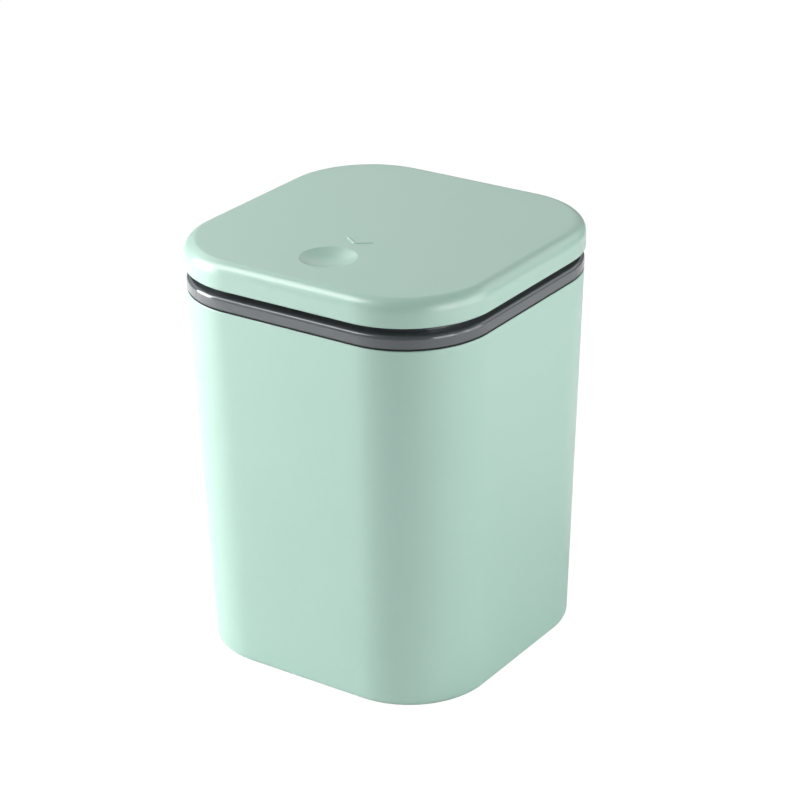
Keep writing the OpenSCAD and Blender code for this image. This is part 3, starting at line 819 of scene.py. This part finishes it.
# %% Torsion spring
WIRE_RADIUS = 0.4 * MM
COIL_GAP = 0.25 * MM
COIL_RADIUS = PIN_RADIUS + COIL_GAP + WIRE_RADIUS
COIL_TURNS = 12
COIL_PITCH = 1.4 * MM
COIL_STEPS = 24
LEG_STEPS = 8
spring_low, spring_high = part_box("lid_spring")
coil_half = COIL_TURNS * COIL_PITCH / 2
turn = np.linspace(0, 2 * np.pi * COIL_TURNS, COIL_STEPS * COIL_TURNS + 1)
coil = np.stack([-coil_half + COIL_PITCH * turn / (2 * np.pi),
                 HINGE_Y - COIL_RADIUS * np.cos(turn), HINGE_Z + COIL_RADIUS * np.sin(turn)], 1)
leg = np.linspace(0, 1, LEG_STEPS)[:, None]
leg_down = coil[0] + (1 - leg[:-1]) * [0, 0, spring_low.z - HINGE_Z]
leg_up = coil[-1] + leg[1:] * [0, 0, spring_high.z - HINGE_Z]
spring_line = np.concatenate([leg_down, coil, leg_up])
spring_turn = np.concatenate([np.zeros(len(leg_down)), turn, np.zeros(len(leg_up))])
outward = np.stack([np.zeros_like(spring_turn), -np.cos(spring_turn), np.sin(spring_turn)], 1)
sideways = np.tile([1.0, 0.0, 0.0], (len(spring_turn), 1))
torsion = wire("torsion_spring", spring_line, outward, sideways, WIRE_RADIUS)
dress(torsion, "steel", None, "steel", "lid_spring")
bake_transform(torsion)

# %% Compression spring
PUSH_WIRE = 0.25 * MM
PUSH_TURNS = 5
PUSH_STEPS = 28
push_low, push_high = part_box("latch_spring")
push_radius = (push_high.x - push_low.x) / 2 - PUSH_WIRE
push_y = (push_low.y + push_high.y) / 2
turn = np.linspace(0, 2 * np.pi * PUSH_TURNS, PUSH_STEPS * PUSH_TURNS + 1)
rise = np.linspace(push_low.z + PUSH_WIRE, push_high.z - PUSH_WIRE, len(turn))
line = np.stack([push_radius * np.cos(turn), push_y + push_radius * np.sin(turn), rise], 1)
outward = np.stack([np.cos(turn), np.sin(turn), np.zeros_like(turn)], 1)
downward = np.tile([0.0, 0.0, -1.0], (len(turn), 1))
compression = wire("compression_spring", line, outward, downward, PUSH_WIRE)
dress(compression, "steel", None, "steel", "latch_spring")
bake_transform(compression)

# %% [markdown]
# ## Studio
# The bin stands on a pale floor. A strong soft box, with a faint one beside it, lights its left
# side, and three weaker ones light its right side. The room behind the camera is darker, and that
# gives the front corner its soft shade. Four more boxes, higher up, light the lid and the back. The
# camera sees the floor and the room as white, but the floor keeps the shadow.

# %% Floor
FLOOR_HALF = 6.0
FLOOR_WHITE_SHARE = 0.96
FLOOR_GLOW = 1.04


def make_floor():
    """A pale plane whose material is mostly plain white to the camera, so the shadow stays soft."""
    mesh = bpy.data.meshes.new("studio_floor")
    corners = [(x * FLOOR_HALF, y * FLOOR_HALF, 0) for x, y in ((-1, -1), (1, -1), (1, 1), (-1, 1))]
    mesh.from_pydata(corners, [], [(0, 1, 2, 3)])
    floor = bpy.data.objects.new("studio_floor", mesh)
    bpy.context.scene.collection.objects.link(floor)
    material = bpy.data.materials.new("floor_white")
    material.use_nodes = True
    tree = material.node_tree
    shader = tree.nodes["Principled BSDF"]
    shader.inputs["Base Color"].default_value = (0.86, 0.86, 0.86, 1)
    shader.inputs["Roughness"].default_value = 0.9
    shader.inputs["Specular IOR Level"].default_value = 0.1
    glow = add_node(tree, "ShaderNodeEmission")
    glow.inputs["Strength"].default_value = FLOOR_GLOW
    mix = add_node(tree, "ShaderNodeMixShader")
    path = add_node(tree, "ShaderNodeLightPath")
    share = maths(tree, "MULTIPLY", path.outputs["Is Camera Ray"], FLOOR_WHITE_SHARE)
    tree.links.new(share, mix.inputs[0])
    tree.links.new(shader.outputs[0], mix.inputs[1])
    tree.links.new(glow.outputs[0], mix.inputs[2])
    tree.links.new(mix.outputs[0], tree.nodes["Material Output"].inputs["Surface"])
    mesh.materials.append(material)


# %% Room
CAMERA_AZIMUTH = 34.84
ROOM_BRIGHT = 0.24
ROOM_DIM = 0.04


def make_world():
    """A white room to the camera. To the object it dims towards the photographer's side.

    The level falls with the dot product of the direction and one that points at the photographer.
    """
    world = bpy.data.worlds.new("studio_room")
    bpy.context.scene.world = world
    world.use_nodes = True
    tree = world.node_tree
    back = tree.nodes["Background"]
    direction = add_node(tree, "ShaderNodeTexCoord").outputs["Generated"]
    dot = add_node(tree, "ShaderNodeVectorMath", operation="DOT_PRODUCT")
    azimuth = math.radians(CAMERA_AZIMUTH)
    dot.inputs[1].default_value = (math.sin(azimuth), -math.cos(azimuth), 0.45)
    tree.links.new(direction, dot.inputs[0])
    level = add_node(tree, "ShaderNodeMapRange")
    limits = {"From Min": -0.3, "From Max": 0.95, "To Min": ROOM_BRIGHT, "To Max": ROOM_DIM}
    for label, value in limits.items():
        level.inputs[label].default_value = value
    tree.links.new(dot.outputs["Value"], level.inputs["Value"])
    path = add_node(tree, "ShaderNodeLightPath")
    strength = maths(tree, "MAXIMUM", level.outputs[0], path.outputs["Is Camera Ray"])
    back.inputs["Color"].default_value = (1, 1, 1, 1)
    tree.links.new(strength, back.inputs["Strength"])


# %% Soft boxes
LAMP_DISTANCE = 0.9
TALL = (0.4, 0.9)
WIDE = (0.5, 0.4)


def soft_box(name, azimuth, elevation, size, watts, distance=LAMP_DISTANCE):
    """A rectangular lamp that stands round the bin at an azimuth and looks at its middle."""
    lamp = bpy.data.lights.new(name, "AREA")
    lamp.shape = "RECTANGLE"
    lamp.size, lamp.size_y = size
    lamp.energy = watts
    holder = bpy.data.objects.new(name, lamp)
    bpy.context.scene.collection.objects.link(holder)
    a, e = math.radians(azimuth), math.radians(elevation)
    away = Vector((math.sin(a) * math.cos(e), -math.cos(a) * math.cos(e), math.sin(e)))
    holder.location = Vector((0, 0, LID_TOP / 2)) + away * distance
    holder.rotation_euler = away.to_track_quat("Z", "Y").to_euler()


make_floor()
make_world()
soft_box("left_front_box", -45, 8, TALL, 0.65)
soft_box("left_box", -65, 8, TALL, 14.3)
soft_box("left_high_box", -50, 50, WIDE, 3.7)
soft_box("back_left_box", -110, 40, WIDE, 0.72)
soft_box("right_front_box", 75, 8, TALL, 4.0)
soft_box("right_side_box", 95, 8, TALL, 1.9)
soft_box("right_back_box", 115, 8, TALL, 2.6)
soft_box("back_right_box", 150, 30, (0.6, 0.4), 0.85)
soft_box("back_box", -145, 28, (1.0, 0.5), 0.74, distance=1.1)

# %% [markdown]
# The camera stands where the photograph was taken from: slightly above the lid, towards the front
# right corner. Its place, lens and shift come from the outlines of lid and bucket in the picture.

# %% Camera
CAMERA_ELEVATION = 24.85
CAMERA_ROLL = -1.03
CAMERA_DISTANCE = 1.06
FOCAL_PIXELS = 2607.4
CENTRE_PIXEL = (389.8, 428.8)
FRAME_PIXELS = 800


def make_camera():
    """A camera on the line from the bin's middle, with a small roll and the picture's shift."""
    a, e, r = (math.radians(v) for v in (CAMERA_AZIMUTH, CAMERA_ELEVATION, CAMERA_ROLL))
    back = Vector((math.sin(a) * math.cos(e), -math.cos(a) * math.cos(e), math.sin(e)))
    level = Vector((math.cos(a), math.sin(a), 0))
    up = back.cross(level)
    right = level * math.cos(r) + up * math.sin(r)
    top = up * math.cos(r) - level * math.sin(r)
    data = bpy.data.cameras.new("studio_camera")
    data.sensor_width = 36.0
    data.lens = FOCAL_PIXELS / FRAME_PIXELS * data.sensor_width
    data.shift_x = (FRAME_PIXELS / 2 - CENTRE_PIXEL[0]) / FRAME_PIXELS
    data.shift_y = (CENTRE_PIXEL[1] - FRAME_PIXELS / 2) / FRAME_PIXELS
    data.clip_start = 0.01
    camera = bpy.data.objects.new("studio_camera", data)
    bpy.context.scene.collection.objects.link(camera)
    turn = Matrix((right, top, back)).transposed().to_4x4()
    place = Vector((0, 0, LID_TOP / 2)) + back * CAMERA_DISTANCE
    camera.matrix_world = Matrix.Translation(place) @ turn
    bpy.context.scene.camera = camera


make_camera()
bpy.context.scene.view_settings.view_transform = "Standard"
